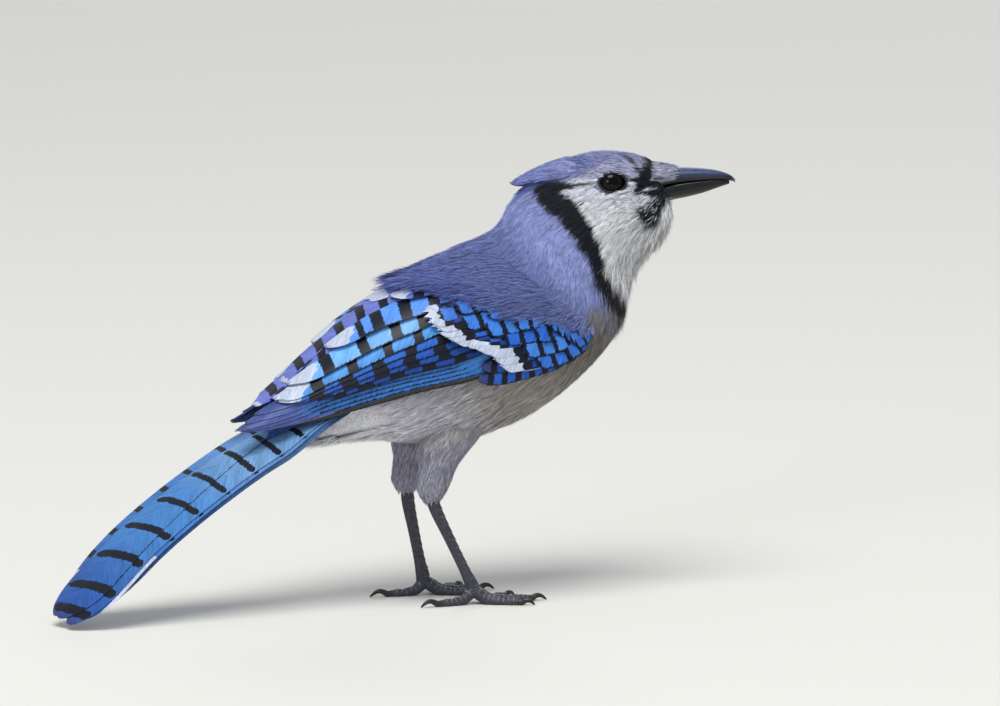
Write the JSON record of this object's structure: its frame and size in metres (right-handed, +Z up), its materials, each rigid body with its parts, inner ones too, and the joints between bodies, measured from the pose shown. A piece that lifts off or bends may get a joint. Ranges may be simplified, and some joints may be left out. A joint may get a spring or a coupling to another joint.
{
  "type": "blue jay",
  "caption": "Still life-size blue jay standing upright, crest laid back, head turned to its right, wings folded and long barred tail resting on the floor.",
  "frame": {"origin": "on the floor, under the middle of the bird's box from bill to tail and from side to side", "axes": "+X from the tail towards the breast, +Y to the bird's left, +Z up"},
  "size_m": [0.2354, 0.0576, 0.1468],
  "materials": {
    "crown_feathers": "soft violet-blue contour feathers",
    "body_feathers": "soft buff-grey contour feathers",
    "flight_feathers": "smooth vaned feathers, blue barred black",
    "horn": "polished slate-black horn",
    "scaled_skin": "dark scaled skin",
    "eye": "wet dark brown eye"
  },
  "bodies": {
    "root": {"head": "crown_feathers", "neck": "body_feathers", "torso": "body_feathers", "rump": "body_feathers", "thigh_right": "body_feathers", "thigh_left": "body_feathers", "wing_right": "flight_feathers", "wing_left": "flight_feathers", "tail": "flight_feathers", "bill_upper": "horn", "bill_lower": "horn", "claw_right_hind": "horn", "claw_right_inner": "horn", "claw_right_middle": "horn", "claw_right_outer": "horn", "claw_left_hind": "horn", "claw_left_inner": "horn", "claw_left_middle": "horn", "claw_left_outer": "horn", "shank_right": "scaled_skin", "shank_left": "scaled_skin", "foot_right": "scaled_skin", "foot_left": "scaled_skin", "eye_right": "eye", "eye_left": "eye"}
  },
  "joints": []
}
